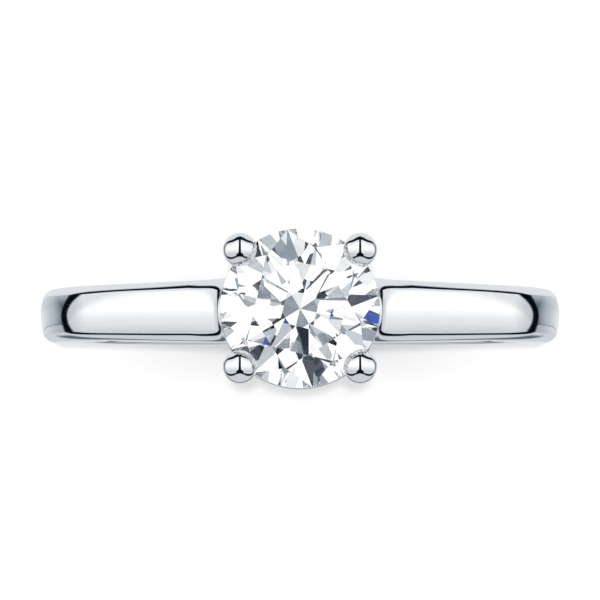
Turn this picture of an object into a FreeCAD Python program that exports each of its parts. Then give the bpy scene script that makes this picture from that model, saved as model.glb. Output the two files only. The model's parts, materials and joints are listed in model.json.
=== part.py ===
import FreeCAD, Part
import math
import os
import Sketcher

# A solitaire engagement ring, in millimetres. The middle of the finger hole is the origin, Y runs
# along the finger and Z points up through the stone. The ring is put together the way a bench
# jeweller does it: a bent shank closed by a bridge, and a basket of four ball-tipped claws and two
# rails standing on the bridge, with a round brilliant held in the claws.

DIMENSIONS = [
    ("finger_bore", 16.7),         # inside diameter of the finger hole
    ("shank_thickness", 1.7),      # bore to outside face
    ("shoulder_width", 2.37),      # width of the shank beside the head
    ("base_width", 1.92),          # width of the shank at the bottom of the ring
    ("outer_rounding", 0.45),      # radius along the two outside corners of the shank
    ("inner_rounding", 0.12),      # radius along the two corners next to the finger
    ("shoulder_angle", 26.5),      # where the shoulders leave the round, measured from the top
    ("shoulder_sweep", 3.0),       # radius of the hollow where shank turns up into shoulder
    ("shoulder_lip", 0.15),        # how far the shoulders' tops reach past the gallery wire's middle
    ("head_gap", 0.25),            # space between the base rail and each end of the shank
    ("solder_seam", 0.08),         # thickness of the solder between shank and bridge
    ("bridge_thickness", 1.6),     # bore to the flat the head stands on
    ("bridge_hole", 1.7),          # hole in the bridge under the stone's point
    ("let_in", 0.075),             # how deep the head is let into the top of the bridge
    ("base_wire", 0.75),           # wire of the base rail
    ("gallery_wire", 0.7),         # wire of the gallery rail
    ("gallery_drop", 1.0),         # gallery rail's middle below the stone's girdle
    ("claw_wire", 0.95),
    ("claw_ball", 1.26),           # diameter of the melted ball at each claw's tip
    ("claw_start", 0.9),           # how far from the middle each claw's wire starts
    ("claw_overhang", 0.15),       # ball's middle outside the stone's edge
    ("claw_rise", 0.25),           # ball's middle above the stone's girdle
    ("claw_bow", 8.0),             # radius each claw is bowed to
    ("claw_angle", 44.2),          # claws' turn from the line through the shoulders
    ("stone_diameter", 5.9),
    ("stone_gap", 0.31),           # space between the stone's point and the bridge's top
    ("stone_turn", 9.0),           # how far the stone's facets are turned in the setting
    ("girdle_thickness", 0.18),
    ("crown_angle", 34.5),
    ("pavilion_angle", 40.8),
    ("table_share", 0.6),          # table's width over the stone's
    ("star_share", 0.5),           # length of the star facets
    ("half_share", 0.77),          # length of the lower half facets
]

doc = FreeCAD.newDocument("EngagementRing")
sheet = doc.addObject("Spreadsheet::Sheet", "Dimensions")
for row, (alias, value) in enumerate(DIMENSIONS, start=1):
    sheet.set("A%d" % row, alias)
    sheet.set("B%d" % row, str(value))
    sheet.setAlias("B%d" % row, alias)
doc.recompute()


def dim(alias):
    """The expression that reads one size from the sheet."""
    return "Dimensions." + alias


def number(expression):
    """What an expression comes to with the sheet's present sizes."""
    return float(sheet.evalExpression(expression))


BORE = "(%s / 2)" % dim("finger_bore")
OUTSIDE = "(%s + %s)" % (BORE, dim("shank_thickness"))
STONE_R = "(%s / 2)" % dim("stone_diameter")
BRIDGE_TOP = "(%s + %s)" % (BORE, dim("bridge_thickness"))
HEAD_FOOT = "(%s - %s)" % (BRIDGE_TOP, dim("let_in"))
GIRDLE_Z = "(%s + %s + %s * tan(%s) + %s / 2)" % (
    BRIDGE_TOP, dim("stone_gap"), STONE_R, dim("pavilion_angle"), dim("girdle_thickness"))
BASE_Z = "(%s + %s / 2)" % (HEAD_FOOT, dim("base_wire"))
GALLERY_Z = "(%s - %s)" % (GIRDLE_Z, dim("gallery_drop"))
CENTRE = ("0", "0")
UPWARD = FreeCAD.Vector(0, 0, 1)

# Each claw's middle line is one arc from a start below the bridge's top to the middle of its ball.
CLAW_START = (dim("claw_start"), "(%s - %s / 2)" % (BRIDGE_TOP, dim("claw_wire")))
CLAW_TIP = ("(%s + %s)" % (STONE_R, dim("claw_overhang")), "(%s + %s)" % (GIRDLE_Z, dim("claw_rise")))


def between(first, last, share):
    return "(%s + (%s - %s) * %s)" % (first, last, first, share)


def claw_arc_middle():
    """Middle of the circle that the claws' arc belongs to, on the stone's side of it."""
    across = "(%s - %s)" % (CLAW_TIP[0], CLAW_START[0])
    rise = "(%s - %s)" % (CLAW_TIP[1], CLAW_START[1])
    chord = "hypot(%s; %s)" % (across, rise)
    depth = "cath(%s; %s / 2)" % (dim("claw_bow"), chord)
    return ("(%s - %s / %s * %s)" % (between(CLAW_START[0], CLAW_TIP[0], 0.5), rise, chord, depth),
            "(%s + %s / %s * %s)" % (between(CLAW_START[1], CLAW_TIP[1], 0.5), across, chord, depth))


def claw_reach(height):
    """How far from the ring's upright middle line a claw's middle is at a height."""
    middle = claw_arc_middle()
    return "(%s + cath(%s; %s - %s))" % (middle[0], dim("claw_bow"), height, middle[1])


BASE_R = claw_reach(BASE_Z)
GALLERY_R = claw_reach(GALLERY_Z)
SHANK_END = "(%s + %s / 2 + %s)" % (BASE_R, dim("base_wire"), dim("head_gap"))


# ---------------------------------------------------------------- sketches and features

def new_body(name):
    return doc.addObject("PartDesign::Body", name)


def origin_part(body, role):
    return [part for part in body.Origin.OriginFeatures if part.Role == role][0]


def new_sketch(body, name, plane, turn=0.0):
    """A sketch on one of the body's own planes, turned about the plane's upright axis."""
    sketch = body.newObject("Sketcher::SketchObject", name)
    sketch.AttachmentSupport = [(origin_part(body, plane), "")]
    sketch.MapMode = "FlatFace"
    turned = FreeCAD.Rotation(FreeCAD.Vector(0, 1, 0), turn)
    sketch.AttachmentOffset = FreeCAD.Placement(FreeCAD.Vector(0, 0, 0), turned)
    return sketch


def bind(sketch, kind, *rest):
    """Add a measured constraint whose size follows an expression, given last."""
    where, expression = rest[:-1], rest[-1]
    index = sketch.addConstraint(Sketcher.Constraint(kind, *where, number(expression)))
    sketch.setExpression("Constraints[%d]" % index, expression)


def point(pair):
    return FreeCAD.Vector(number(pair[0]), number(pair[1]), 0)


def draw_outline(sketch, corners, bends=None):
    """Add one closed outline through the corners. A bend makes the side that starts at its corner an
    arc of (middle, radius, way), where way is 1 for anticlockwise and -1 for clockwise."""
    bends = bends or {}
    first = sketch.GeometryCount
    count = len(corners)
    ends = []
    for side in range(count):
        start = point(corners[side])
        finish = point(corners[(side + 1) % count])
        if side not in bends:
            sketch.addGeometry(Part.LineSegment(start, finish), False)
            ends.append((1, 2))
            continue
        middle, radius, way = bends[side]
        sketch.addGeometry(arc_between(start, finish, point(middle), number(radius), way), False)
        ends.append((1, 2) if way > 0 else (2, 1))
    for side in range(count):
        after = (side + 1) % count
        sketch.addConstraint(Sketcher.Constraint(
            "Coincident", first + side, ends[side][1], first + after, ends[after][0]))
        bind(sketch, "DistanceX", -1, 1, first + side, ends[side][0], corners[side][0])
        bind(sketch, "DistanceY", -1, 1, first + side, ends[side][0], corners[side][1])
    for side, (middle, radius, way) in bends.items():
        bind(sketch, "Radius", first + side, radius)
    doc.recompute()


def arc_between(start, finish, middle, radius, way):
    circle = Part.Circle(middle, FreeCAD.Vector(0, 0, 1), radius)
    first, last = (start, finish) if way > 0 else (finish, start)
    return Part.ArcOfCircle(circle, circle.parameter(first), circle.parameter(last))


def pad_both_ways(body, name, sketch, length):
    pad = body.newObject("PartDesign::Pad", name)
    pad.Profile = sketch
    pad.SideType = "Symmetric"
    pad.setExpression("Length", length)
    doc.recompute()
    return pad


def cut_both_ways(body, name, sketch):
    """Take the sketch's outline away right through the body, and make sure something went."""
    before = body.Shape.Volume
    pocket = body.newObject("PartDesign::Pocket", name)
    pocket.Profile = sketch
    pocket.Type = "ThroughAll"
    pocket.SideType = "Symmetric"
    doc.recompute()
    if body.Shape.Volume >= before:
        raise RuntimeError(name + " took nothing away")
    return pocket


def round_edges(body, name, base, wanted, radius):
    """Fillet every edge of base for which wanted(middle of the edge) is true."""
    names = []
    for index, edge in enumerate(base.Shape.Edges, start=1):
        middle = edge.valueAt((edge.FirstParameter + edge.LastParameter) / 2)
        if wanted(middle):
            names.append("Edge%d" % index)
    fillet = body.newObject("PartDesign::Fillet", name)
    fillet.Base = (base, names)
    fillet.setExpression("Radius", radius)
    doc.recompute()
    return fillet


def cut(name, base, tools):
    """base less every tool, as one document object."""
    feature = base
    for index, tool in enumerate(tools):
        less = doc.addObject("Part::Cut", "%s_cut_%d" % (name, index + 1))
        less.Base = feature
        less.Tool = tool
        feature = less
    doc.recompute()
    return feature


# ---------------------------------------------------------------- shank and bridge

def half_width(height):
    """Half the shank's width at a height, which tapers evenly from shoulders to base."""
    return "((%s + %s) / 4 + (%s - %s) / 4 * (%s) / %s)" % (
        dim("shoulder_width"), dim("base_width"), dim("shoulder_width"), dim("base_width"),
        height, OUTSIDE)


def taper_sides(body, name):
    """Trim both sides of a body to the shank's taper."""
    sketch = new_sketch(body, name + "_taper", "YZ_Plane")
    wide = "(2 * %s)" % dim("shoulder_width")
    low, high = "(-1.5 * %s)" % OUTSIDE, "(1.5 * %s)" % OUTSIDE
    for side in ("", "-"):
        draw_outline(sketch, [(side + half_width(low), low), (side + wide, low),
                              (side + wide, high), (side + half_width(high), high)])
    return cut_both_ways(body, name + "_sides", sketch)


def on_side(middle):
    """Whether a point lies well out to the front or back rather than along the ring's middle."""
    return abs(middle.y) > 0.4 * number(dim("base_width"))


def on_bore(middle):
    return on_side(middle) and abs(math.hypot(middle.x, middle.z) - number(BORE)) < 1e-3


def make_shank(gallery_ring):
    """Bent bar with its two ends swept up into shoulders that carry the gallery rail."""
    body = new_body("shank_body")
    angle, sweep = dim("shoulder_angle"), dim("shoulder_sweep")
    leave = ("%s * sin(%s)" % (OUTSIDE, angle), "%s * cos(%s)" % (OUTSIDE, angle))
    middle = ("((%s + %s) * sin(%s))" % (OUTSIDE, sweep, angle),
              "((%s + %s) * cos(%s))" % (OUTSIDE, sweep, angle))
    top = "(%s - %s / 4)" % (GALLERY_Z, dim("gallery_wire"))
    tip = ("(%s + %s)" % (GALLERY_R, dim("shoulder_lip")), top)
    across, rise = "(%s - %s)" % (tip[0], middle[0]), "(%s - %s)" % (top, middle[1])
    touch = "(atan2(%s; %s) + acos(%s / hypot(%s; %s)))" % (rise, across, sweep, across, rise)
    turned = ("(%s + %s * cos(%s))" % (middle[0], sweep, touch),
              "(%s + %s * sin(%s))" % (middle[1], sweep, touch))
    right = [leave, turned, tip, (SHANK_END, top), (SHANK_END, heel_height(SHANK_END))]
    left = [("-(%s)" % out, height) for out, height in right]
    bends = {0: (CENTRE, OUTSIDE, 1),
             1: (middle, sweep, -1),
             5: (CENTRE, BORE, -1),
             9: (("-" + middle[0], middle[1]), sweep, -1)}
    sketch = new_sketch(body, "shank_side_view", "XZ_Plane")
    draw_outline(sketch, [left[0]] + right + left[:0:-1], bends)
    pad_both_ways(body, "shank_blank", sketch, "2 * " + dim("shoulder_width"))
    sides = taper_sides(body, "shank")

    def on_outer_corner(middle):
        at_end = middle.z > 0 and abs(abs(middle.x) - number(SHANK_END)) < 1e-3
        at_top = abs(middle.z - number(top)) < 1e-3
        return on_side(middle) and not on_bore(middle) and not at_end and not at_top

    rounded = round_edges(body, "shank_outer_corners", sides, on_outer_corner, dim("outer_rounding"))
    round_edges(body, "shank_inner_corners", rounded, on_bore, dim("inner_rounding"))
    return cut("shank", body, [gallery_ring])


def heel_height(across):
    """Height of the finger hole's wall above a point across from the middle."""
    return "cath(%s; %s)" % (BORE, across)


def make_closing_block():
    """All that lies between the shank's ends: the bridge and the solder on both sides of it."""
    body = new_body("closing_block")
    heel = heel_height(SHANK_END)
    sketch = new_sketch(body, "block_side_view", "XZ_Plane")
    draw_outline(sketch, [(SHANK_END, heel), (SHANK_END, BRIDGE_TOP), ("-" + SHANK_END, BRIDGE_TOP),
                          ("-" + SHANK_END, heel)], {3: (CENTRE, BORE, -1)})
    pad_both_ways(body, "block_blank", sketch, "2 * " + dim("shoulder_width"))
    sides = taper_sides(body, "block")
    round_edges(body, "block_inner_corners", sides, on_bore, dim("inner_rounding"))
    return body


def make_between_seams():
    """The space between the two solder seams, as a box that the closing block is divided with."""
    box = doc.addObject("Part::Box", "between_seams")
    half = "(%s - %s)" % (SHANK_END, dim("solder_seam"))
    box.setExpression("Length", "2 * " + half)
    box.setExpression("Width", "2 * " + dim("shoulder_width"))
    box.setExpression("Height", "2 * " + OUTSIDE)
    box.setExpression("Placement.Base.x", "-" + half)
    box.setExpression("Placement.Base.y", "-" + dim("shoulder_width"))
    doc.recompute()
    return box


def make_bridge(block, between_seams, let_in):
    """Block that closes the finger hole, drilled under the stone's point and sunk for the head."""
    middle = doc.addObject("Part::Common", "bridge_blank")
    middle.Base = block
    middle.Tool = between_seams
    drill = doc.addObject("Part::Cylinder", "bridge_drill")
    drill.setExpression("Radius", dim("bridge_hole") + " / 2")
    drill.setExpression("Height", BRIDGE_TOP)
    drill.setExpression("Placement.Base.z", BORE + " / 2")
    return cut("bridge", middle, [drill] + let_in)


# ---------------------------------------------------------------- head

def make_ring_of_wire(name, radius, wire, height):
    ring = doc.addObject("Part::Torus", name)
    ring.setExpression("Radius1", radius)
    ring.setExpression("Radius2", wire + " / 2")
    ring.setExpression("Placement.Base.z", height)
    doc.recompute()
    return ring


def make_claw_blank(name, turn):
    """A bowed wire with a ball melted at its tip, cut off flat to stand on the bridge."""
    body = new_body(name + "_blank")
    path = new_sketch(body, name + "_path", "XZ_Plane")
    arc = arc_between(point(CLAW_START), point(CLAW_TIP), point(claw_arc_middle()),
                      number(dim("claw_bow")), 1)
    path.addGeometry(arc, False)
    for end, place in ((1, CLAW_START), (2, CLAW_TIP)):
        bind(path, "DistanceX", -1, 1, 0, end, place[0])
        bind(path, "DistanceY", -1, 1, 0, end, place[1])
    bind(path, "Radius", 0, dim("claw_bow"))
    doc.recompute()
    wire = body.newObject("Sketcher::SketchObject", name + "_wire")
    wire.AttachmentSupport = [(path, "Edge1")]
    wire.MapMode = "NormalToEdge"
    wire.addGeometry(Part.Circle(FreeCAD.Vector(0, 0, 0), FreeCAD.Vector(0, 0, 1), 1.0), False)
    wire.addConstraint(Sketcher.Constraint("Coincident", 0, 3, -1, 1))
    bind(wire, "Radius", 0, dim("claw_wire") + " / 2")
    doc.recompute()
    pipe = body.newObject("PartDesign::AdditivePipe", name + "_bowed_wire")
    pipe.Profile = wire
    pipe.Spine = path
    doc.recompute()
    ball = body.newObject("PartDesign::AdditiveSphere", name + "_ball")
    ball.AttachmentSupport = [(origin_part(body, "XZ_Plane"), "")]
    ball.MapMode = "FlatFace"
    ball.setExpression("Radius", dim("claw_ball") + " / 2")
    ball.setExpression("AttachmentOffset.Base.x", CLAW_TIP[0])
    ball.setExpression("AttachmentOffset.Base.y", CLAW_TIP[1])
    doc.recompute()
    flat = new_sketch(body, name + "_foot_line", "XZ_Plane")
    wide = "(2 * %s)" % STONE_R
    draw_outline(flat, [("-" + wide, "0"), (wide, "0"), (wide, HEAD_FOOT), ("-" + wide, HEAD_FOOT)])
    cut_both_ways(body, name + "_foot", flat)
    body.Placement = FreeCAD.Placement(FreeCAD.Vector(0, 0, 0), FreeCAD.Rotation(UPWARD, 1.0))
    body.setExpression("Placement.Rotation.Angle", turn)
    doc.recompute()
    return body


def make_stone():
    """Round brilliant of 57 facets, cut tier by tier round a turned blank."""
    body = new_body("diamond")
    radius, table = STONE_R, dim("table_share")
    crown, pavilion = "tan(%s)" % dim("crown_angle"), "tan(%s)" % dim("pavilion_angle")
    half_girdle = "(%s / 2)" % dim("girdle_thickness")
    eighth, sixteenth = "cos(22.5)", "cos(11.25)"
    table_z = "(%s + %s * (1 - %s) * %s)" % (half_girdle, radius, table, crown)
    culet_z = "(-%s - %s * %s)" % (half_girdle, radius, pavilion)
    table_edge = "(%s * %s * %s)" % (radius, table, eighth)
    star_r = "(%s + %s * (%s - %s))" % (table_edge, dim("star_share"), radius, table_edge)
    star_z = "(%s + (%s - %s * %s) * %s)" % (half_girdle, radius, star_r, eighth, crown)
    half_r = "(%s * (1 - %s))" % (radius, dim("half_share"))
    half_z = "(%s + %s * %s * %s)" % (culet_z, half_r, eighth, pavilion)
    star = "((%s - %s) / (%s - %s))" % (table_z, star_z, star_r, table_edge)
    upper = "((%s - %s) / ((%s - %s) * %s))" % (star_z, half_girdle, radius, star_r, sixteenth)
    lower = "((-%s - %s) / ((%s - %s) * %s))" % (half_girdle, half_z, radius, half_r, sixteenth)

    blank = new_sketch(body, "stone_blank_outline", "XZ_Plane")
    draw_outline(blank, [("0", culet_z), (radius, culet_z), (radius, table_z), ("0", table_z)])
    turned = body.newObject("PartDesign::Revolution", "stone_blank")
    turned.Profile = blank
    turned.ReferenceAxis = (blank, ["V_Axis"])
    turned.Angle = 360
    doc.recompute()

    girdle_r = "(%s * %s)" % (radius, sixteenth)
    tiers = [
        ("crown_mains", 8, 0.0, 1, crown, radius, half_girdle),
        ("stars", 8, 22.5, 1, star, table_edge, table_z),
        ("upper_halves", 16, 11.25, 1, upper, girdle_r, half_girdle),
        ("pavilion_mains", 8, 0.0, -1, pavilion, radius, "-" + half_girdle),
        ("lower_halves", 16, 11.25, -1, lower, girdle_r, "-" + half_girdle),
    ]
    for name, count, turn, side, slope, through_r, through_z in tiers:
        cut_tier(body, name, count, turn, side, slope, through_r, through_z)
    body.setExpression("Placement.Base.z", GIRDLE_Z)
    body.Placement = FreeCAD.Placement(body.Placement.Base, FreeCAD.Rotation(UPWARD, 1.0))
    body.setExpression("Placement.Rotation.Angle", dim("stone_turn"))
    doc.recompute()
    return body


def cut_tier(body, name, count, turn, side, slope, through_r, through_z):
    """One ring of facets. side is 1 above the girdle and -1 below; the facet's plane falls by slope
    outwards and passes through the radius and height given."""
    far = "(2 * %s)" % STONE_R
    sign = "" if side > 0 else "-"

    def height(radius):
        return "(%s + %s1 * (%s - %s) * %s)" % (through_z, sign, through_r, radius, slope)

    near = "0"
    corners = [(near, height(near)), (far, height(far)), (far, height(near))]
    sketch = new_sketch(body, name + "_outline", "XZ_Plane", turn)
    draw_outline(sketch, corners)
    first = cut_both_ways(body, name + "_first", sketch)
    pattern = body.newObject("PartDesign::PolarPattern", name)
    pattern.Originals = [first]
    pattern.Axis = (origin_part(body, "Z_Axis"), [""])
    pattern.Angle = 360
    pattern.Occurrences = count
    body.Tip = pattern
    doc.recompute()


# ---------------------------------------------------------------- the ring

stone = make_stone()
base_ring = make_ring_of_wire("base_ring", BASE_R, dim("base_wire"), BASE_Z)
gallery_ring = make_ring_of_wire("gallery_ring", GALLERY_R, dim("gallery_wire"), GALLERY_Z)
TURNS = {
    "claw_back_right": dim("claw_angle"),
    "claw_back_left": "180 - " + dim("claw_angle"),
    "claw_front_left": "180 + " + dim("claw_angle"),
    "claw_front_right": "360 - " + dim("claw_angle"),
}
blanks = {name: make_claw_blank(name, turn) for name, turn in TURNS.items()}
parts = {name: cut(name, blank, [stone]) for name, blank in blanks.items()}
parts["shank"] = make_shank(gallery_ring)
block, between_seams = make_closing_block(), make_between_seams()
parts["bridge"] = make_bridge(block, between_seams, [base_ring] + list(blanks.values()))
parts["bridge_solder"] = cut("bridge_solder", block, [between_seams])
parts["base_rail"] = cut("base_rail", base_ring, list(blanks.values()))
parts["gallery_rail"] = cut("gallery_rail", gallery_ring, list(blanks.values()))
parts["diamond"] = stone

doc.recompute()
for thing in doc.Objects:
    if "Invalid" in thing.State or "Error" in thing.State:
        raise RuntimeError(thing.Name + " did not compute")
os.makedirs("parts", exist_ok=True)
for name, thing in parts.items():
    thing.Label = name
    if thing.Shape.isNull() or not thing.Shape.isValid():
        raise RuntimeError(name + " has no sound shape")
    thing.Shape.exportStep("parts/" + name + ".step")
    print(name, len(thing.Shape.Solids), "solids,", round(thing.Shape.Volume, 3), "mm3")
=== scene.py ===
"""Solitaire engagement ring: polished platinum shank and head with a round brilliant."""

import json
import math

import bmesh
import bpy
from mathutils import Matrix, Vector


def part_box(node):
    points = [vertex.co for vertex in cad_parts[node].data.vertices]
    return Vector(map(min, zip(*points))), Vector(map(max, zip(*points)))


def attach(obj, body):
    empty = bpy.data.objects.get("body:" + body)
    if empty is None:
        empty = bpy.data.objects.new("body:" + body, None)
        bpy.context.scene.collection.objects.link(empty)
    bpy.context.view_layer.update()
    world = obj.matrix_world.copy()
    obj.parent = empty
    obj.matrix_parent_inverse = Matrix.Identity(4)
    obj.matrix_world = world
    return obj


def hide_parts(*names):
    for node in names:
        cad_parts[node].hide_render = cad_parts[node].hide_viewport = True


bl_info = {
    "name": "Solitaire Ring",
    "version": (1, 0, 0),
    "blender": (4, 5, 0),
    "location": "View3D > Sidebar > Ring",
    "description": "Makes the polished pieces of a four-claw solitaire ring and its light tent",
    "category": "Add Mesh",
}

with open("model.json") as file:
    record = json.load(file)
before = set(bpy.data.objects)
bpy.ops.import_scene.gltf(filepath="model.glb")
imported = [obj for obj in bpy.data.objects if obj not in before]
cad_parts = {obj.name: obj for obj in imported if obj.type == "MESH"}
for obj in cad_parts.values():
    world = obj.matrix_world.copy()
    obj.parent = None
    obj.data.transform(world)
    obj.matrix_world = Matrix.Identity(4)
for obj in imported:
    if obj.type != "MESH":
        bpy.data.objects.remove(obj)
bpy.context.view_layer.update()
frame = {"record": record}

MM = 0.001
TINY = 1e-7                      # vertices nearer than this are one
PLANE_TOLERANCE = 2e-6           # vertices this near a plane lie on it
SHANK_LOW, SHANK_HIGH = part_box("shank")
STONE_LOW, STONE_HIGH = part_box("diamond")
BRIDGE_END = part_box("bridge")[1][0]
SHANK_END, _, BRIDGE_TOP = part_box("bridge_solder")[1]
CLAW_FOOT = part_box("claw_back_right")[0][2]
OUTSIDE = SHANK_HIGH[0]
SHOULDER_TOP = SHANK_HIGH[2]
BORE = frame["record"]["mounts"][0]["dims"]["r_mm"] * MM
STONE_RADIUS = (STONE_HIGH[0] - STONE_LOW[0]) / 2
STONE_TOP = STONE_HIGH[2]
MIDDLE = (0.0, 0.0, 0.0)
SHADE_OUT = 2                    # a colour Mix node's colour output
ROUND_STEPS = 240                # steps in which the shank is spun round
SWEEP_STEPS = 36                 # steps in the hollow below a shoulder
DOME_SLICES = 8                  # slices across half the dome
CLAW_STEPS = 56                  # rings along a claw
BALL_RINGS = 14                  # rings over the far half of a ball
RAIL_STEPS = 180                 # sections round a rail
SAME_RING = 0.0004               # rings of a claw this near in direction are one
WHITE = (1.0, 1.0, 1.0, 1.0)
DIAMOND_IOR = 2.417


# ---------------------------------------------------------------- sizes and colours

def length(name, description, default):
    """A length that the maker may change."""
    return bpy.props.FloatProperty(name=name, description=description, default=default,
                                   min=0.0, unit="LENGTH", precision=5)


def angle(name, description, degrees):
    """An angle that the maker may change."""
    return bpy.props.FloatProperty(name=name, description=description,
                                   default=math.radians(degrees), subtype="ANGLE")


def colour(name, description, default):
    """A colour that the maker may change."""
    return bpy.props.FloatVectorProperty(name=name, description=description, default=default,
                                         size=3, min=0.0, max=1.0, subtype="COLOR")


def share(name, description, default):
    """A number from nought to one."""
    return bpy.props.FloatProperty(name=name, description=description, default=default,
                                   min=0.0, max=1.0, subtype="FACTOR")


class RingShankSizes(bpy.types.PropertyGroup):
    """Sizes of the shank, its shoulders and the bridge that closes it."""

    half_width: length("Half width", "Half the shank's width level with the finger", 1.0165 * MM)
    widening: length("Widening", "How much the half width grows up to the shoulders", 0.075 * MM)
    flare: length("Flare", "Extra half width of the shoulders", 0.149 * MM)
    shoulder_height: length("Shoulder height", "Height where the widening and flare are measured",
                            10.0 * MM)
    flare_start: length("Flare start", "Height where the shoulders start to flare", 6.0 * MM)
    crown_radius: length("Crown radius", "Radius of the slight dome across the outside",
                         2.45 * MM)
    crown_reach: length("Crown reach", "Distance from the middle where the dome ends", 0.68 * MM)
    outer_rounding: length("Outer rounding", "Width of the rounding along the outside corners",
                           0.343 * MM)
    inner_rounding: length("Inner rounding", "Radius along the corners next to the finger",
                           0.12 * MM)
    shoulder_angle: angle("Shoulder angle", "Where the shank turns up, from the head", 25.0)
    sweep_radius: length("Sweep radius", "Radius of the hollow below each shoulder", 2.5 * MM)
    tip_reach: length("Tip reach", "How far the shoulders' tops reach from the middle",
                      2.7903 * MM)
    hole_radius: length("Hole radius", "Radius of the hole through the bridge", 0.85 * MM)


class RingHeadSizes(bpy.types.PropertyGroup):
    """Sizes of the wires of the head."""

    base_wire: length("Base wire", "Thickness of the base rail's wire", 0.75 * MM)
    gallery_wire: length("Gallery wire", "Thickness of the gallery rail's wire", 0.7 * MM)
    claw_wire: length("Claw wire", "Thickness of each claw's wire", 0.95 * MM)
    claw_ball: length("Claw ball", "Thickness of the ball on each claw", 1.26 * MM)
    claw_start: length("Claw start", "Distance of the claw's line from the middle, low down",
                       0.9 * MM)
    claw_start_height: length("Claw start height", "Height where the claw's line starts",
                              9.475 * MM)
    claw_overhang: length("Claw overhang", "How far a ball's middle lies outside the girdle",
                          0.15 * MM)
    claw_rise: length("Claw rise", "How far a ball's middle lies above the girdle", 0.25 * MM)
    claw_bow: length("Claw bow", "Radius of the claw's outward bow", 8.0 * MM)
    claw_angle: angle("Claw angle", "Turn of the first claw from the shank's line", 44.2)
    fillet: share("Solder fillet", "How much a rail thickens where it meets a claw", 0.16)


class RingStoneSizes(bpy.types.PropertyGroup):
    """Proportions of the round brilliant."""

    girdle: length("Girdle", "Thickness of the girdle at its thin places", 0.18 * MM)
    crown_angle: angle("Crown angle", "Slope of the kite facets", 34.5)
    pavilion_angle: angle("Pavilion angle", "Slope of the main facets below the girdle", 40.8)
    table_share: share("Table", "Table width as a share of the diameter", 0.6)
    star_share: share("Star", "Length of the star facets between table and girdle", 0.5)
    half_share: share("Lower half", "Length of the lower half facets between girdle and culet",
                      0.77)
    turn: angle("Turn", "Turn of the facets in the head", 9.0)


class RingFinishes(bpy.types.PropertyGroup):
    """Colours of the metals, the stone and the floor."""

    platinum: colour("Platinum", "Polished platinum", (0.93, 0.93, 0.935))
    solder: colour("Solder", "Platinum solder, a touch warmer and duller", (0.84, 0.83, 0.81))
    girdle: colour("Girdle", "Fine ground girdle of the stone", (0.86, 0.88, 0.9))
    floor: colour("Floor", "Pale floor", (0.93, 0.93, 0.93))


# ---------------------------------------------------------------- shader arithmetic

class Value:
    """A shader socket that takes part in Python arithmetic."""

    def __init__(self, graph, socket):
        self.graph = graph
        self.socket = socket

    def math(self, operation, *others):
        """This value and others through one Math node."""
        return self.graph.math(operation, self, *others)

    def __add__(self, other):
        return self.math("ADD", other)

    def __radd__(self, other):
        return self.graph.math("ADD", other, self)

    def __sub__(self, other):
        return self.math("SUBTRACT", other)

    def __rsub__(self, other):
        return self.graph.math("SUBTRACT", other, self)

    def __mul__(self, other):
        return self.math("MULTIPLY", other)

    def __rmul__(self, other):
        return self.graph.math("MULTIPLY", other, self)

    def __truediv__(self, other):
        return self.math("DIVIDE", other)

    def __abs__(self):
        return self.math("ABSOLUTE")


class Graph:
    """A node tree that is being drawn."""

    def __init__(self, tree):
        self.tree = tree
        tree.nodes.clear()

    def node(self, kind, settings=None, sockets=None):
        """Any node: its settings first, then the values or links of its sockets."""
        made = self.tree.nodes.new(kind)
        for name, value in (settings or {}).items():
            if name == "stops":
                self.set_stops(made.color_ramp, value)
            else:
                setattr(made, name, value)
        for name, value in (sockets or {}).items():
            self.feed(made.inputs[name], value)
        return made

    def set_stops(self, ramp, stops):
        """Gives a ramp its stops, each a place and a grey level."""
        while len(ramp.elements) < len(stops):
            ramp.elements.new(1.0)
        for element, (place, level) in zip(ramp.elements, stops):
            element.position = place
            element.color = (level, level, level, 1.0)

    def feed(self, socket, value):
        """A link or a plain value into a socket."""
        if isinstance(value, Value):
            self.tree.links.new(value.socket, socket)
        else:
            socket.default_value = value

    def out(self, node, name=0):
        """One output of a node as a value."""
        return Value(self, node.outputs[name])

    def math(self, operation, *values):
        """One Math node."""
        return self.out(self.node("ShaderNodeMath", {"operation": operation},
                                  dict(enumerate(values))))

    def curve(self, value, stops, kind="LINEAR"):
        """A value read off a ramp of grey levels."""
        ramp = self.node("ShaderNodeValToRGB", {"stops": stops}, {0: value})
        ramp.color_ramp.interpolation = kind
        return self.out(ramp)

    def step(self, value, low, high):
        """Nought below low, one above high, and smooth between."""
        node = self.node("ShaderNodeMapRange", {"interpolation_type": "SMOOTHSTEP"},
                         {0: value, 1: low, 2: high, 3: 0.0, 4: 1.0})
        return self.out(node)

    def noise(self, place, scale, detail=3.0):
        """Fine cloudy variation from nought to one."""
        return self.out(self.node("ShaderNodeTexNoise", {},
                                  {"Vector": place, "Scale": scale, "Detail": detail}))

    def mix(self, factor, first, second):
        """One colour turning into another."""
        return self.out(self.node("ShaderNodeMix", {"data_type": "RGBA"},
                                  {"Factor": factor, 6: first, 7: second}), SHADE_OUT)


def new_finish(name):
    """An empty material, its graph and the point on the piece, in metres."""
    finish = bpy.data.materials.new(name)
    finish.use_nodes = True
    graph = Graph(finish.node_tree)
    return finish, graph, graph.out(graph.node("ShaderNodeTexCoord"), "Object")


def coat(graph, **sockets):
    """The shader of a whole piece, from its named sockets."""
    values = {name.replace("_", " "): value for name, value in sockets.items()}
    shader = graph.node("ShaderNodeBsdfPrincipled", {}, values)
    graph.node("ShaderNodeOutputMaterial", {}, {"Surface": graph.out(shader)})


def tinted(tint, strength=1.0):
    """A tint as a full colour, a little darker where strength is below one."""
    return tuple(strength * part for part in tint) + (1.0,)


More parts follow.
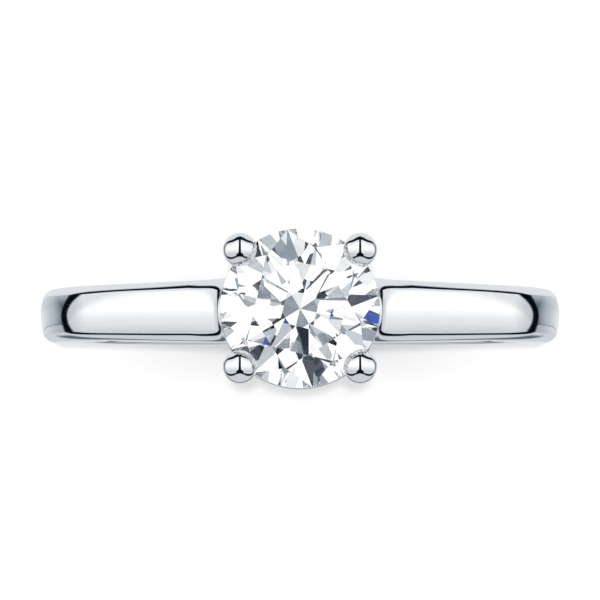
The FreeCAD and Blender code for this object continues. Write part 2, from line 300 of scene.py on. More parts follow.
def polished_metal(name, tint, roughness, wear):
    """Polished metal with faint hairlines and the cloudiness that a polishing mop leaves."""
    finish, graph, place = new_finish(name)
    clouds = graph.noise(place, 900.0)
    drawn_out = graph.node("ShaderNodeMapping", {}, {"Vector": place, "Scale": (1.0, 14.0, 1.0)})
    hairlines = graph.noise(graph.out(drawn_out), 3200.0, 2.0)
    scratches = graph.step(hairlines, 0.58, 0.72)
    shade = graph.mix(graph.step(clouds, 0.2, 0.8), tinted(tint, 0.975), tinted(tint))
    bump = graph.node("ShaderNodeBump", {},
                      {"Strength": 0.05, "Distance": 2e-6, "Height": hairlines})
    coat(graph, Base_Color=shade, Metallic=1.0, Normal=graph.out(bump),
         Roughness=roughness + clouds * (0.5 * roughness) + scratches * wear)
    return finish


def cut_stone(name):
    """Clear diamond: full refraction, perfectly polished facets."""
    finish, graph, place = new_finish(name)
    shade = graph.mix(graph.noise(place, 500.0, 2.0), (0.985, 0.99, 1.0, 1.0), WHITE)
    coat(graph, Base_Color=shade, Roughness=0.0, IOR=DIAMOND_IOR, Transmission_Weight=1.0,
         Specular_Tint=(0.3, 0.33, 0.38, 1.0))
    return finish


def ground_girdle(name, tint):
    """The girdle's fine ground surface, which looks frosted."""
    finish, graph, place = new_finish(name)
    grain = graph.noise(place, 14000.0, 4.0)
    bump = graph.node("ShaderNodeBump", {},
                      {"Strength": 0.3, "Distance": 4e-6, "Height": grain})
    coat(graph, Base_Color=tinted(tint), Roughness=0.35 + grain * 0.2, IOR=DIAMOND_IOR,
         Transmission_Weight=0.85, Normal=graph.out(bump))
    return finish


def pale_floor(name, tint):
    """Matt pale floor with a barely visible mottle."""
    finish, graph, place = new_finish(name)
    shade = graph.mix(graph.noise(place, 60.0), tinted(tint, 0.98), tinted(tint))
    coat(graph, Base_Color=shade, Roughness=0.9, Specular_IOR_Level=0.0)
    return finish


FINISHES = {}


def finish_of(name):
    """A finish by its name, made the first time that it is asked for."""
    tints = bpy.context.scene.ring_finishes
    if name not in FINISHES:
        if name == "platinum":
            FINISHES[name] = polished_metal(name, tints.platinum, 0.035, 0.05)
        elif name == "platinum_solder":
            FINISHES[name] = polished_metal(name, tints.solder, 0.11, 0.08)
        elif name == "diamond":
            FINISHES[name] = cut_stone(name)
        elif name == "ground_girdle":
            FINISHES[name] = ground_girdle(name, tints.girdle)
        else:
            FINISHES[name] = pale_floor(name, tints.floor)
    return FINISHES[name]


# ---------------------------------------------------------------- bench tools

def clear_selection():
    """Nothing selected, and no piece being edited."""
    if bpy.context.object and bpy.context.object.mode != "OBJECT":
        bpy.ops.object.mode_set(mode="OBJECT")
    bpy.ops.object.select_all(action="DESELECT")


def take_up(piece):
    """Makes one piece the selected and active one."""
    clear_selection()
    bpy.context.view_layer.objects.active = piece
    piece.select_set(True)


def start_piece(name, add, **settings):
    """A new piece from a primitive, with its place in its mesh, ready for editing."""
    clear_selection()
    add(**settings)
    piece = bpy.context.object
    piece.name = name
    piece.data.name = name
    bpy.ops.object.transform_apply(location=True, rotation=True, scale=True)
    bpy.ops.object.mode_set(mode="EDIT")
    bpy.ops.mesh.select_mode(type="VERT")
    return piece


def pick(piece, kind, test):
    """Selects the vertices whose place, or the edges that, pass the test."""
    bpy.ops.mesh.select_all(action="DESELECT")
    bpy.ops.mesh.select_mode(type=kind)
    mesh = bmesh.from_edit_mesh(piece.data)
    wanted = [vertex for vertex in mesh.verts if test(vertex.co)] if kind == "VERT" else \
        [edge for edge in mesh.edges if test(edge)]
    if not wanted:
        raise RuntimeError("nothing to pick on " + piece.name)
    for element in wanted:
        element.select_set(True)
    mesh.select_flush_mode()
    bmesh.update_edit_mesh(piece.data)


def move_on(x, y, z):
    """Extrudes the selection and moves the new part."""
    bpy.ops.mesh.extrude_region_move(TRANSFORM_OT_translate={"value": (x, y, z)})


def spin_round(centre, axis, turn, steps):
    """Spins the selection round an axis, right-handed."""
    bpy.ops.mesh.spin(steps=steps, angle=-turn, center=centre, axis=axis, dupli=False)


def finish_editing():
    """Doubles merged, faces pointing outwards, back to the object."""
    bpy.ops.mesh.select_mode(type="VERT")
    bpy.ops.mesh.select_all(action="SELECT")
    bpy.ops.mesh.remove_doubles(threshold=TINY)
    bpy.ops.mesh.normals_make_consistent(inside=False)
    bpy.ops.object.mode_set(mode="OBJECT")


def apply_modifier(piece, kind, **settings):
    """Adds one modifier and applies it."""
    take_up(piece)
    modifier = piece.modifiers.new(kind.lower(), kind)
    for name, value in settings.items():
        setattr(modifier, name, value)
    bpy.ops.object.modifier_apply(modifier=modifier.name)


def smooth(piece, degrees=32.0, weighted=True):
    """Smooth shading that keeps the flat sides flat."""
    take_up(piece)
    bpy.ops.object.shade_smooth_by_angle(angle=math.radians(degrees))
    if weighted:
        apply_modifier(piece, "WEIGHTED_NORMAL", mode="FACE_AREA", weight=50, keep_sharp=True)


def hand_over(piece, slot, node):
    """Gives a piece its slot's finish, and puts it in the place of its CAD node."""
    clear_selection()
    piece.data.materials.clear()
    piece.data.materials.append(finish_of(slot))
    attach(piece, "root")
    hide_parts(node)


def mirror_quarter(piece):
    """Mirrors a quarter across the ring's two upright middle planes."""
    apply_modifier(piece, "MIRROR", use_axis=(True, True, False), use_clip=False,
                   merge_threshold=PLANE_TOLERANCE)
    take_up(piece)
    bpy.ops.object.mode_set(mode="EDIT")
    finish_editing()


def widen(piece, sizes):
    """Widens a piece towards the head, and flares its shoulders mostly at their sides."""
    top = sizes.shoulder_height
    for vertex in piece.data.vertices:
        height = vertex.co.z
        above = max(0.0, height - sizes.flare_start) / (top - sizes.flare_start)
        share_out = vertex.co.y / sizes.half_width
        grown = sizes.half_width + sizes.widening * height / top
        vertex.co.y = grown * share_out + sizes.flare * above ** 2 * share_out ** 5


# ---------------------------------------------------------------- shank

def lay_outline(sizes):
    """The shank's right half seen from the side: outside, sweep, shoulder, end and finger hole."""
    piece = start_piece("shank_polished", bpy.ops.mesh.primitive_plane_add, size=0.1 * MM,
                        location=(0.0, 0.0, -OUTSIDE))
    bpy.ops.mesh.select_all(action="SELECT")
    bpy.ops.mesh.merge(type="CENTER")
    turn = math.pi - sizes.shoulder_angle
    spin_round(MIDDLE, (0.0, -1.0, 0.0), turn, ROUND_STEPS)
    reach = OUTSIDE + sizes.sweep_radius
    centre = (reach * math.sin(sizes.shoulder_angle), reach * math.cos(sizes.shoulder_angle))
    across, rise = sizes.tip_reach - centre[0], SHOULDER_TOP - centre[1]
    touch = math.atan2(rise, across) + math.acos(sizes.sweep_radius / math.hypot(across, rise))
    leave = 1.5 * math.pi - sizes.shoulder_angle
    spin_round((centre[0], 0.0, centre[1]), (0.0, 1.0, 0.0), leave - touch, SWEEP_STEPS)
    turned = (centre[0] + sizes.sweep_radius * math.cos(touch),
              centre[1] + sizes.sweep_radius * math.sin(touch))
    move_on(sizes.tip_reach - turned[0], 0.0, SHOULDER_TOP - turned[1])
    move_on(SHANK_END - sizes.tip_reach, 0.0, 0.0)
    heel = math.sqrt(BORE ** 2 - SHANK_END ** 2)
    move_on(0.0, 0.0, heel - SHOULDER_TOP)
    spin_round(MIDDLE, (0.0, 1.0, 0.0), math.pi / 2 + math.atan2(heel, SHANK_END), ROUND_STEPS)
    return piece


def dome_depth(sizes, across):
    """How far the domed outside lies below its middle line, at a distance from the middle."""
    if across <= sizes.crown_reach:
        return across ** 2 / (2 * sizes.crown_radius)
    slope = sizes.crown_reach / sizes.crown_radius
    return sizes.crown_reach ** 2 / (2 * sizes.crown_radius) + slope * (across - sizes.crown_reach)


def on_outside(point):
    """True on the shank's outline away from the finger hole and the soldered end."""
    return math.hypot(point.x, point.z) > BORE + 0.05 * MM and \
        not (abs(point.x - SHANK_END) < PLANE_TOLERANCE and point.z > 0)


def make_shank_mesh(sizes):
    """Bent bar with a domed outside, rounded corners and swept shoulders."""
    piece = lay_outline(sizes)
    half = sizes.half_width
    slices = [sizes.crown_reach * step / DOME_SLICES for step in range(DOME_SLICES + 1)]
    slices.append(half)
    bpy.ops.mesh.select_all(action="SELECT")
    for near, far in zip(slices, slices[1:]):
        move_on(0.0, far - near, 0.0)
    bpy.ops.mesh.select_all(action="SELECT")
    bpy.ops.mesh.normals_make_consistent(inside=False)
    for level in reversed(slices[1:]):
        pick(piece, "VERT", lambda point: abs(point.y - level) < PLANE_TOLERANCE
             and on_outside(point) and point.z < SHOULDER_TOP - 0.01 * MM)
        shrink(piece, dome_depth(sizes, level))
    close_side(piece, half)
    round_side(piece, half, sizes)
    finish_editing()
    mirror_quarter(piece)
    widen(piece, sizes)
    smooth(piece)
    return piece


def shrink(piece, depth):
    """Moves the picked vertices inwards along their normals."""
    mesh = bmesh.from_edit_mesh(piece.data)
    for vertex in mesh.verts:
        if vertex.select:
            away = Vector((vertex.normal.x, 0.0, vertex.normal.z)).normalized()
            vertex.co -= away * depth
    bmesh.update_edit_mesh(piece.data)


def close_side(piece, half):
    """One flat face over the side of the bar."""
    pick(piece, "VERT", lambda point: abs(point.y - half) < PLANE_TOLERANCE
         and abs(point.x) < PLANE_TOLERANCE and point.z < 0)
    bpy.ops.mesh.edge_face_add()
    pick(piece, "VERT", lambda point: abs(point.y - half) < PLANE_TOLERANCE)
    bpy.ops.mesh.edge_face_add()


def round_side(piece, half, sizes):
    """Large rounding along the outside corner, a small one next to the finger."""
    def at_side(edge):
        return all(abs(v.co.y - half) < PLANE_TOLERANCE for v in edge.verts)

    def outer(edge):
        low = edge.verts[0].co.z < SHOULDER_TOP - 1e-6 or edge.verts[1].co.z < SHOULDER_TOP - 1e-6
        middle = (edge.verts[0].co + edge.verts[1].co) / 2
        return at_side(edge) and low and on_outside(middle) and middle.x > PLANE_TOLERANCE

    pick(piece, "EDGE", outer)
    bpy.ops.mesh.bevel(offset=sizes.outer_rounding, offset_type="OFFSET", segments=9,
                       profile=0.5, clamp_overlap=False)

    def inner(edge):
        middle = (edge.verts[0].co + edge.verts[1].co) / 2
        return at_side(edge) and math.hypot(middle.x, middle.z) < BORE + 0.01 * MM \
            and middle.x > PLANE_TOLERANCE
    pick(piece, "EDGE", inner)
    bpy.ops.mesh.bevel(offset=sizes.inner_rounding, offset_type="OFFSET", segments=4,
                       profile=0.5, clamp_overlap=False)


class RING_OT_shank(bpy.types.Operator):
    """Bends the shank with its two shoulders"""

    bl_idname = "ring.shank"
    bl_label = "Shank"

    def execute(self, context):
        piece = make_shank_mesh(context.scene.ring_shank)
        hand_over(piece, "platinum", "shank")
        return {"FINISHED"}


# ---------------------------------------------------------------- bridge and solder

def make_closing_block(name, sizes):
    """All that lies between the shank's ends, before it is divided."""
    piece = start_piece(name, bpy.ops.mesh.primitive_plane_add, size=0.1 * MM,
                        location=(0.0, 0.0, BORE))
    bpy.ops.mesh.select_all(action="SELECT")
    bpy.ops.mesh.merge(type="CENTER")
    spin_round(MIDDLE, (0.0, 1.0, 0.0), math.asin(SHANK_END / BORE), 24)
    heel = math.sqrt(BORE ** 2 - SHANK_END ** 2)
    move_on(0.0, 0.0, BRIDGE_TOP - heel)
    move_on(-SHANK_END, 0.0, 0.0)
    half = sizes.half_width
    bpy.ops.mesh.select_all(action="SELECT")
    move_on(0.0, half, 0.0)
    pick(piece, "VERT", lambda point: abs(point.y - half) < PLANE_TOLERANCE
         and abs(point.x) < PLANE_TOLERANCE)
    bpy.ops.mesh.edge_face_add()
    pick(piece, "VERT", lambda point: abs(point.y - half) < PLANE_TOLERANCE)
    bpy.ops.mesh.edge_face_add()

    def side_edge(edge):
        middle = (edge.verts[0].co + edge.verts[1].co) / 2
        level = all(abs(v.co.y - half) < PLANE_TOLERANCE for v in edge.verts)
        return level and PLANE_TOLERANCE < middle.x < SHANK_END - PLANE_TOLERANCE

    pick(piece, "EDGE", side_edge)
    bpy.ops.mesh.bevel(offset=sizes.inner_rounding, offset_type="OFFSET", segments=4,
                       profile=0.5, clamp_overlap=False)
    finish_editing()
    mirror_quarter(piece)
    widen(piece, sizes)
    return piece


def trim(piece, point, normal):
    """Saws off what lies on the normal's side of a plane, and closes the cut."""
    bpy.ops.mesh.select_mode(type="VERT")
    bpy.ops.mesh.select_all(action="SELECT")
    bpy.ops.mesh.bisect(plane_co=point, plane_no=normal, use_fill=True, clear_outer=True,
                        threshold=TINY)


def drill(piece, radius, low, high):
    """Drills a round hole along Z."""
    cutter = start_piece("drill", bpy.ops.mesh.primitive_cylinder_add, vertices=96,
                         radius=radius, depth=high - low,
                         location=(0.0, 0.0, (high + low) / 2))
    bpy.ops.object.mode_set(mode="OBJECT")
    apply_modifier(piece, "BOOLEAN", object=cutter, operation="DIFFERENCE", solver="EXACT")
    bpy.data.objects.remove(cutter)


def seam_piece(name, sizes, side):
    """One thin solder seam between the bridge and the shank's end."""
    piece = make_closing_block(name, sizes)
    take_up(piece)
    bpy.ops.object.mode_set(mode="EDIT")
    trim(piece, (side * BRIDGE_END, 0.0, 0.0), (-side, 0.0, 0.0))
    finish_editing()
    return piece


class RING_OT_bridge(bpy.types.Operator):
    """Makes the drilled bridge between the shank's ends and its two solder seams"""

    bl_idname = "ring.bridge"
    bl_label = "Bridge and solder"

    def execute(self, context):
        sizes = context.scene.ring_shank
        bridge = make_closing_block("bridge_polished", sizes)
        take_up(bridge)
        bpy.ops.object.mode_set(mode="EDIT")
        trim(bridge, (BRIDGE_END, 0.0, 0.0), (1.0, 0.0, 0.0))
        trim(bridge, (-BRIDGE_END, 0.0, 0.0), (-1.0, 0.0, 0.0))
        finish_editing()
        drill(bridge, sizes.hole_radius, BORE - 1.0 * MM, BRIDGE_TOP + 1.0 * MM)
        smooth(bridge)
        hand_over(bridge, "platinum", "bridge")
        left = seam_piece("solder_left", sizes, -1.0)
        right = seam_piece("solder_right", sizes, 1.0)
        for seam in (left, right):
            smooth(seam)
            hand_over(seam, "platinum_solder", "bridge_solder")
        return {"FINISHED"}


# ---------------------------------------------------------------- head

def bow_geometry(sizes):
    """Middle of the claw's bow and the directions of its two ends seen from there."""
    start = Vector((sizes.claw_start, sizes.claw_start_height))
    girdle = girdle_height(bpy.context.scene.ring_stone)
    end = Vector((STONE_RADIUS + sizes.claw_overhang, girdle + sizes.claw_rise))
    half = (end - start) / 2
    back = math.sqrt(sizes.claw_bow ** 2 - half.length ** 2)
    away = Vector((-half.y, half.x)).normalized()
    centre = start + half + away * back
    first = math.atan2(start.y - centre.y, start.x - centre.x)
    last = math.atan2(end.y - centre.y, end.x - centre.x)
    return centre, first, last


def claw_thickness(sizes, ahead):
    """Radius of the claw at a distance past the ball's middle, with a soft neck."""
    wire, ball = sizes.claw_wire / 2, sizes.claw_ball / 2
    chord = math.sqrt(max(0.0, ball ** 2 - ahead ** 2))
    if ahead < -ball:
        return wire
    if ahead > -0.15 * MM:
        return chord
    sharpness = 12.0
    return (wire ** sharpness + chord ** sharpness) ** (1.0 / sharpness)


def make_claw_blank(sizes):
    """One claw in the plane of X and Z: a bowed wire that ends in a ball."""
    centre, first, last = bow_geometry(sizes)
    bow, wire = sizes.claw_bow, sizes.claw_wire / 2
    piece = start_piece("claw", bpy.ops.mesh.primitive_circle_add, vertices=48, radius=wire,
                        fill_type="NGON", rotation=(0.0, -first, 0.0),
                        location=(centre.x + bow * math.cos(first), 0.0,
                                  centre.y + bow * math.sin(first)))
    bpy.ops.mesh.select_all(action="SELECT")
    spin_round((centre.x, 0.0, centre.y), (0.0, -1.0, 0.0), last - first, CLAW_STEPS)
    for step in range(1, CLAW_STEPS + 1):
        direction = first + (last - first) * step / CLAW_STEPS
        swell_ring(piece, sizes, centre, direction, (direction - last) * bow)
    cap_ball(piece, sizes, centre, last)
    trim(piece, (0.0, 0.0, CLAW_FOOT), (0.0, 0.0, -1.0))
    finish_editing()
    return piece


def swell_ring(piece, sizes, centre, direction, ahead):
    """Sets one ring of the claw to its thickness."""
    thickness = claw_thickness(sizes, ahead)
    if abs(thickness - sizes.claw_wire / 2) < 1e-9:
        return
    middle = pick_ring(piece, sizes, centre, direction)
    factor = thickness / (sizes.claw_wire / 2)
    bpy.ops.transform.resize(value=(factor,) * 3, center_override=tuple(middle))


def pick_ring(piece, sizes, centre, direction):
    """Selects the claw's ring in one direction from the bow's middle, and gives its middle."""
    def in_ring(point):
        return abs(math.atan2(point.z - centre.y, point.x - centre.x) - direction) < SAME_RING

    pick(piece, "VERT", in_ring)
    return Vector((centre.x + sizes.claw_bow * math.cos(direction), 0.0,
                   centre.y + sizes.claw_bow * math.sin(direction)))


def cap_ball(piece, sizes, centre, direction):
    """Continues the last ring as the far half of the ball."""
    ball = sizes.claw_ball / 2
    along = Vector((-math.sin(direction), 0.0, math.cos(direction)))
    middle = pick_ring(piece, sizes, centre, direction)
    for ring in range(1, BALL_RINGS + 1):
        low = math.pi / 2 * (ring - 1) / BALL_RINGS
        high = math.pi / 2 * ring / BALL_RINGS
        step = along * ball * (math.sin(high) - math.sin(low))
        move_on(*step)
        middle += step
        if ring == BALL_RINGS:
            bpy.ops.mesh.merge(type="CENTER")
        else:
            factor = math.cos(high) / math.cos(low)
            bpy.ops.transform.resize(value=(factor,) * 3, center_override=tuple(middle))


CLAW_TURNS = (("claw_back_right", 0), ("claw_back_left", 1), ("claw_front_left", 2),
              ("claw_front_right", 3))


def claw_turn(sizes, quarter):
    """Turn of a claw round the stone: each lies the same angle from the shank's line."""
    turn = sizes.claw_angle
    return (turn, math.pi - turn, math.pi + turn, 2 * math.pi - turn)[quarter]


def copy_piece(piece, name):
    """A copy with a mesh of its own."""
    twin = piece.copy()
    twin.data = piece.data.copy()
    twin.name = name
    twin.data.name = name
    bpy.context.scene.collection.objects.link(twin)
    return twin


class RING_OT_claws(bpy.types.Operator):
    """Bends one claw, copies it four times and files the seats for the stone"""

    bl_idname = "ring.claws"
    bl_label = "Claws"

    def execute(self, context):
        sizes = context.scene.ring_head
        blank = make_claw_blank(sizes)
        seat = make_stone_mesh("seat_burr", context.scene.ring_stone, STONE_RADIUS + 0.012 * MM)
        for name, quarter in CLAW_TURNS:
            claw = copy_piece(blank, name + "_polished")
            take_up(claw)
            claw.rotation_euler = (0.0, 0.0, claw_turn(sizes, quarter))
            bpy.ops.object.transform_apply(location=False, rotation=True, scale=False)
            apply_modifier(claw, "BOOLEAN", object=seat, operation="DIFFERENCE", solver="EXACT")
            smooth(claw, 40.0, weighted=False)
            hand_over(claw, "platinum", name)
        bpy.data.objects.remove(blank)
        bpy.data.objects.remove(seat)
        return {"FINISHED"}


def make_rail(name, radius, height, wire, sizes):
    """A ring of wire that thickens a little where it is soldered to the claws."""
    piece = start_piece(name, bpy.ops.mesh.primitive_circle_add, vertices=36, radius=wire / 2,
                        rotation=(math.pi / 2, 0.0, 0.0), location=(radius, 0.0, height))
    bpy.ops.mesh.select_all(action="SELECT")
    spin_round((0.0, 0.0, height), (0.0, 0.0, 1.0), 2 * math.pi, RAIL_STEPS)
    bpy.ops.mesh.select_all(action="SELECT")
    bpy.ops.mesh.remove_doubles(threshold=TINY)
    reach = 0.8 * wire / radius
    claws = [claw_turn(sizes, quarter) for quarter in range(4)]
    for step in range(RAIL_STEPS):
        turn = 2 * math.pi * step / RAIL_STEPS
        nearest = min(abs(math.remainder(turn - claw, 2 * math.pi)) for claw in claws)
        swell = sizes.fillet * math.exp(-(nearest / reach) ** 2)
        if swell > 0.002:
            swell_rail(piece, radius, height, turn, 1.0 + swell)
    finish_editing()
    smooth(piece, 60.0, weighted=False)
    return piece


def swell_rail(piece, radius, height, turn, factor):
    """Thickens one section of a rail."""
    def in_section(point):
        return abs(math.remainder(math.atan2(point.y, point.x) - turn, 2 * math.pi)) < 0.001

    pick(piece, "VERT", in_section)
    middle = (radius * math.cos(turn), radius * math.sin(turn), height)
    bpy.ops.transform.resize(value=(factor,) * 3, center_override=middle)


class RING_OT_rails(bpy.types.Operator):
    """Bends the base rail and the gallery rail and solders them to the claws"""

    bl_idname = "ring.rails"
    bl_label = "Rails"

    def execute(self, context):
        sizes = context.scene.ring_head
        for name, wire in (("base_rail", sizes.base_wire), ("gallery_rail", sizes.gallery_wire)):
            low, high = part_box(name)
            reach = (high[0] - low[0]) / 2 - wire / 2
            rail = make_rail(name + "_polished", reach, high[2] - wire / 2, wire, sizes)
            hand_over(rail, "platinum", name)
        return {"FINISHED"}


# ---------------------------------------------------------------- stone

def girdle_height(cut):
    """Height of the girdle's middle."""
    top = STONE_TOP - STONE_RADIUS * (1 - cut.table_share) * math.tan(cut.crown_angle)
    return top - cut.girdle / 2


def facet_planes(cut):
    """Every facet as its turn, slope, distance out, height and side, and the culet's height."""
    radius, middle = STONE_RADIUS, girdle_height(cut)
    eighth, sixteenth = math.radians(22.5), math.radians(11.25)
    upper, lower = middle + cut.girdle / 2, middle - cut.girdle / 2
    mains = [cut.turn + math.radians(45.0 * k) for k in range(8)]
    halves = [turn + sign * sixteenth for turn in mains for sign in (-1, 1)]
    stars = [turn + eighth for turn in mains]
    kite = math.tan(cut.crown_angle)
    main = math.tan(cut.pavilion_angle)
    table_edge = cut.table_share * radius * math.cos(eighth)
    star = table_edge + cut.star_share * (radius - table_edge)
    star_height = upper + (radius - star * math.cos(eighth)) * kite
    star_slope = (STONE_TOP - star_height) / (star - table_edge)
    near = math.cos(sixteenth)
    upper_slope = (star_height - upper) / ((radius - star) * near)
    culet = lower - radius * main
    quarter = (1 - cut.half_share) * radius
    half_height = culet + quarter * math.cos(eighth) * main
    lower_slope = (lower - half_height) / ((radius - quarter) * near)
    planes = [(turn, kite, radius, upper, 1) for turn in mains]
    planes += [(turn, star_slope, table_edge, STONE_TOP, 1) for turn in stars]
    planes += [(turn, upper_slope, radius * near, upper, 1) for turn in halves]
    planes += [(turn, main, radius, lower, -1) for turn in mains]
    planes += [(turn, lower_slope, radius * near, lower, -1) for turn in halves]
    return planes, culet


def make_stone_mesh(name, cut, radius):
    """A round blank ground flat facet by facet, as a cutter does."""
    planes, culet = facet_planes(cut)
    depth = STONE_TOP - culet
    piece = start_piece(name, bpy.ops.mesh.primitive_cylinder_add, vertices=288, radius=radius,
                        depth=depth, location=(0.0, 0.0, culet + depth / 2))
    grown = radius - STONE_RADIUS
    for turn, slope, out, height, side in planes:
        normal = Vector((math.cos(turn) * slope, math.sin(turn) * slope, side)).normalized()
        point = Vector((math.cos(turn) * out, math.sin(turn) * out, height))
        trim(piece, tuple(point + normal * grown), tuple(normal))
    finish_editing()
    return piece


class RING_OT_stone(bpy.types.Operator):
    """Cuts the round brilliant with its 57 facets and its ground girdle"""

    bl_idname = "ring.stone"
    bl_label = "Diamond"

    def execute(self, context):
        piece = make_stone_mesh("diamond_cut", context.scene.ring_stone, STONE_RADIUS)
        take_up(piece)
        bpy.ops.object.shade_flat()
        hand_over(piece, "diamond", "diamond")
        piece.data.materials.append(finish_of("ground_girdle"))
        for face in piece.data.polygons:
            face.material_index = 1 if abs(face.normal.z) < 0.02 else 0
        return {"FINISHED"}


# ---------------------------------------------------------------- stage

def draw_tent(world):
    """Light tent: plain light for the floor, panels for the metal, cards for the stone."""
    world.use_nodes = True
    graph = Graph(world.node_tree)
    look = graph.out(graph.node("ShaderNodeTexCoord"), "Generated")
    metal = graph.node("ShaderNodeBackground", {},
                       {"Color": panels(graph, look), "Strength": 1.12})
    stone = graph.node("ShaderNodeBackground", {},
                       {"Color": cards(graph, look), "Strength": 1.2})
    plain = graph.node("ShaderNodeBackground", {},
                       {"Color": WHITE, "Strength": 0.95})
    backdrop = graph.node("ShaderNodeBackground", {},
                          {"Color": WHITE, "Strength": 1.05})
    path = graph.node("ShaderNodeLightPath")
    surface = graph.out(plain)
    for light, ray in ((metal, "Is Glossy Ray"), (stone, "Is Transmission Ray"),
                       (backdrop, "Is Camera Ray")):
        surface = graph.out(graph.node("ShaderNodeMixShader", {},
                                       {0: graph.out(path, ray), 1: surface,
                                        2: graph.out(light)}))
    graph.node("ShaderNodeOutputWorld", {}, {"Surface": surface})


def cool_grey(graph, tone):
    """A neutral white whose darker tones turn slightly blue."""
    tones = [tone.math("POWER", power) for power in (1.12, 1.0, 0.9)]
    return graph.out(graph.node("ShaderNodeCombineColor", {}, dict(enumerate(tones))))


def panels(graph, look):
    """White panels with dark gaps, laid out by the tilt that metal needs to mirror them upwards."""
    tilt = graph.node("ShaderNodeVectorMath", {"operation": "ADD"},
                      {0: look, 1: (0.0, 0.0, 1.0001)})
    tilt = graph.node("ShaderNodeVectorMath", {"operation": "NORMALIZE"}, {0: graph.out(tilt)})
    axes = graph.node("ShaderNodeSeparateXYZ", {}, {0: graph.out(tilt)})
    across, up = abs(graph.out(axes, "X")), graph.out(axes, "Y")
    out = (across * across + up * up).math("SQRT")
    middle = 1.0 - graph.step(across, 0.0, 0.55)
    beside = (across / 0.903).math("POWER", 6.0)
    ceiling, table = 0.475 + middle * 0.18, 0.5 - middle * 0.135
    high = (up / ceiling).math("MAXIMUM", 0.0)
    low = (up * -1.0 / table).math("MAXIMUM", 0.0)
    field = beside + high.math("POWER", 1.8) + low.math("POWER", 2.0)
    gap = 0.08 + high.math("POWER", 3.0) * 0.17 + low.math("POWER", 3.0) * 0.16
    inside = (1.0 - field) / gap
    below_ceiling = ceiling * (1.0 - beside).math("MAXIMUM", 0.0).math("POWER", 0.65) - up
    white = front_panel(graph, across, up, below_ceiling)
    beyond = tent_back(graph, across, up, out)
    tone = graph.step(inside, 0.7, 1.3) * white + graph.step(inside * -1.0, 0.7, 1.3) * beyond
    return cool_grey(graph, tone + 0.003)


def front_panel(graph, across, up, below_ceiling):
    """Brightness of the white panels in front and beside the ring, with the lens slit."""
    fade = graph.curve(up + 0.5, [(0.0, 0.6), (0.24, 0.6), (0.28, 0.64), (0.34, 0.74),
                                  (0.4, 0.79), (0.46, 0.86), (0.49, 0.91), (0.55, 1.0)])
    rim = 0.74 + graph.step(below_ceiling, 0.11, 0.26) * 0.26
    wall = 1.0 - graph.step(across, 0.8, 0.88) * 0.24
    width = 0.06 - up * 0.02 + graph.step(up * -1.0, 0.15, 0.31) * 0.14
    slit = graph.step(across - width, 0.0, 0.018)
    return fade * rim * wall * slit


def tent_back(graph, across, up, out):
    """Brightness of what lies behind the gaps: ceiling, back wall and table."""
    beyond = across - 0.905
    back = graph.curve(beyond * 10.0, [(0.0, 0.12), (0.07, 0.18), (0.19, 0.3), (0.34, 0.42),
                                       (0.5, 0.5), (0.65, 0.59), (0.76, 0.67), (1.0, 0.83)])
    near = graph.curve((across - 0.86) * 8.0, [(0.0, 0.6), (0.2, 0.36), (0.5, 0.46), (0.75, 0.6),
                                               (1.0, 0.68)])
    below = graph.step(up * -1.0, 0.11, 0.14)
    seam = 1.0 - (1.0 - graph.step(abs(up + 0.122), 0.004, 0.014)) * 0.3
    side = (back * (1.0 - below) + near * below) * seam
    top = graph.step(up, 0.12, 0.42)
    bottom = graph.step(up * -1.0, 0.2, 0.36)
    tone = side * (1.0 - top - bottom) + 0.72 * top + 0.6 * bottom
    fold = graph.step(abs(out - 0.943), 0.012, 0.03)
    fold = 1.0 - (1.0 - fold) * 0.8 * graph.step(up * -1.0, 0.4, 0.6)
    return tone * fold


def cards(graph, look):
    """Bright, grey and dark cards all round, with a few blue ones, that the facets pick up."""
    mosaic = graph.node("ShaderNodeTexVoronoi", {"feature": "F1"},
                        {"Vector": look, "Scale": 13.0, "Randomness": 1.0})
    random = graph.node("ShaderNodeSeparateColor", {}, {0: graph.out(mosaic, "Color")})
    tone = graph.curve(graph.out(random, 0), [(0.0, 0.01), (0.13, 0.08), (0.18, 0.28),
                                              (0.32, 0.5), (0.46, 0.74), (0.57, 1.0)],
                       "CONSTANT")
    blue = graph.step(graph.out(random, 1), 0.975, 0.976)
    return graph.mix(blue, cool_grey(graph, tone), (0.0, 0.04, 0.33, 1.0))


def lay_floor():
    """A wide pale floor under the ring."""
    piece = start_piece("floor", bpy.ops.mesh.primitive_circle_add, vertices=96, radius=0.9,
                        fill_type="NGON", location=(0.0, 0.0, SHANK_LOW[2]))
    bpy.ops.mesh.select_all(action="SELECT")
    bpy.ops.mesh.inset(thickness=0.6)
    bpy.ops.object.mode_set(mode="OBJECT")
    piece.data.materials.append(finish_of("floor"))
    piece.visible_glossy = False
    piece.visible_transmission = False


def set_camera():
    """A long lens above the stone, a little towards the front."""
    clear_selection()
    distance, sensor, view_width = 0.285, 36.0, 23.2558 * MM
    aim = Vector((0.0, 0.632 * MM, 0.0))
    away = Vector((0.0, -0.02525, 1.0)).normalized()
    bpy.ops.object.camera_add(location=tuple(aim + away * distance))
    camera = bpy.context.object
    camera.rotation_euler = away.to_track_quat("Z", "Y").to_euler()
    camera.data.sensor_width = sensor
    camera.data.lens = sensor * distance / view_width
    camera.data.clip_start = 0.01
    camera.data.clip_end = 5.0
    bpy.context.scene.camera = camera


def hang_light(slope, strength, spread):
    """A distant soft light nearly overhead, leaning to the back, that the metal doesn't mirror."""
    bpy.ops.object.light_add(type="SUN", location=(0.0, 0.2 * slope, 0.2))
    light = bpy.context.object
    light.rotation_euler = Vector((0.0, slope, 1.0)).to_track_quat("Z", "Y").to_euler()
    light.data.energy = strength * math.pi
    light.data.angle = math.radians(spread)
    light.visible_glossy = False
    light.visible_transmission = False


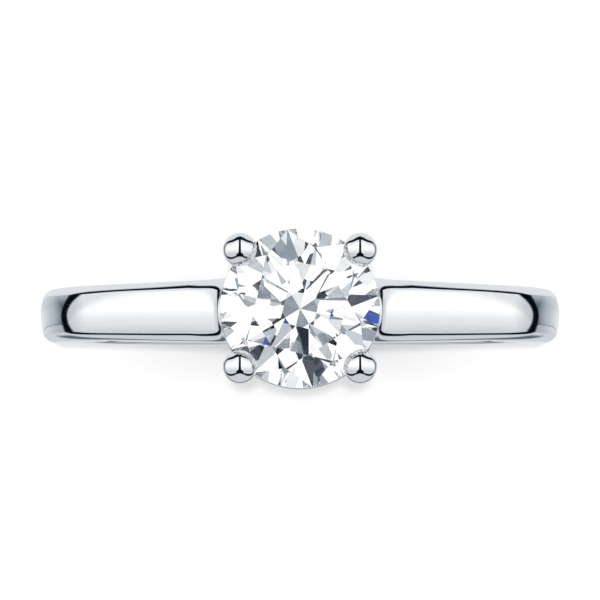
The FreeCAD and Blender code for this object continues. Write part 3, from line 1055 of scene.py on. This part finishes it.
class RING_OT_stage(bpy.types.Operator):
    """Sets up the floor, the light tent, two soft lights and the camera"""

    bl_idname = "ring.stage"
    bl_label = "Stage"

    def execute(self, context):
        lay_floor()
        scene = context.scene
        if scene.world is None:
            scene.world = bpy.data.worlds.new("tent")
        draw_tent(scene.world)
        clear_selection()
        hang_light(0.0, 0.25, 1.0)
        hang_light(0.055, 0.06, 5.0)
        set_camera()
        scene.view_settings.view_transform = "Standard"
        scene.cycles.max_bounces = 32
        scene.cycles.glossy_bounces = 12
        scene.cycles.transmission_bounces = 32
        return {"FINISHED"}


# ---------------------------------------------------------------- panel and running

class RING_PT_pieces(bpy.types.Panel):
    """Lists the ring's pieces"""

    bl_idname = "RING_PT_pieces"
    bl_label = "Solitaire ring"
    bl_space_type = "VIEW_3D"
    bl_region_type = "UI"
    bl_category = "Ring"

    def draw(self, context):
        for operator in OPERATORS:
            self.layout.operator(operator.bl_idname)
        for group in ("ring_shank", "ring_head", "ring_stone", "ring_finishes"):
            settings = getattr(context.scene, group)
            box = self.layout.box()
            for name in settings.bl_rna.properties.keys():
                if name not in ("rna_type", "name"):
                    box.prop(settings, name)


OPERATORS = (RING_OT_shank, RING_OT_bridge, RING_OT_stone, RING_OT_claws, RING_OT_rails,
             RING_OT_stage)
GROUPS = (("ring_shank", RingShankSizes), ("ring_head", RingHeadSizes),
          ("ring_stone", RingStoneSizes), ("ring_finishes", RingFinishes))


def register():
    """Adds the classes and the scene's settings."""
    for name, group in GROUPS:
        bpy.utils.register_class(group)
        setattr(bpy.types.Scene, name, bpy.props.PointerProperty(type=group))
    for operator in OPERATORS:
        bpy.utils.register_class(operator)
    bpy.utils.register_class(RING_PT_pieces)


def unregister():
    """Takes them away again."""
    bpy.utils.unregister_class(RING_PT_pieces)
    for operator in reversed(OPERATORS):
        bpy.utils.unregister_class(operator)
    for name, group in reversed(GROUPS):
        delattr(bpy.types.Scene, name)
        bpy.utils.unregister_class(group)


def main():
    """Makes the whole ring and its stage."""
    register()
    bpy.ops.ring.shank()
    bpy.ops.ring.bridge()
    bpy.ops.ring.stone()
    bpy.ops.ring.claws()
    bpy.ops.ring.rails()
    bpy.ops.ring.stage()
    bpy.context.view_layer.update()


if __name__ == "__main__":
    main()
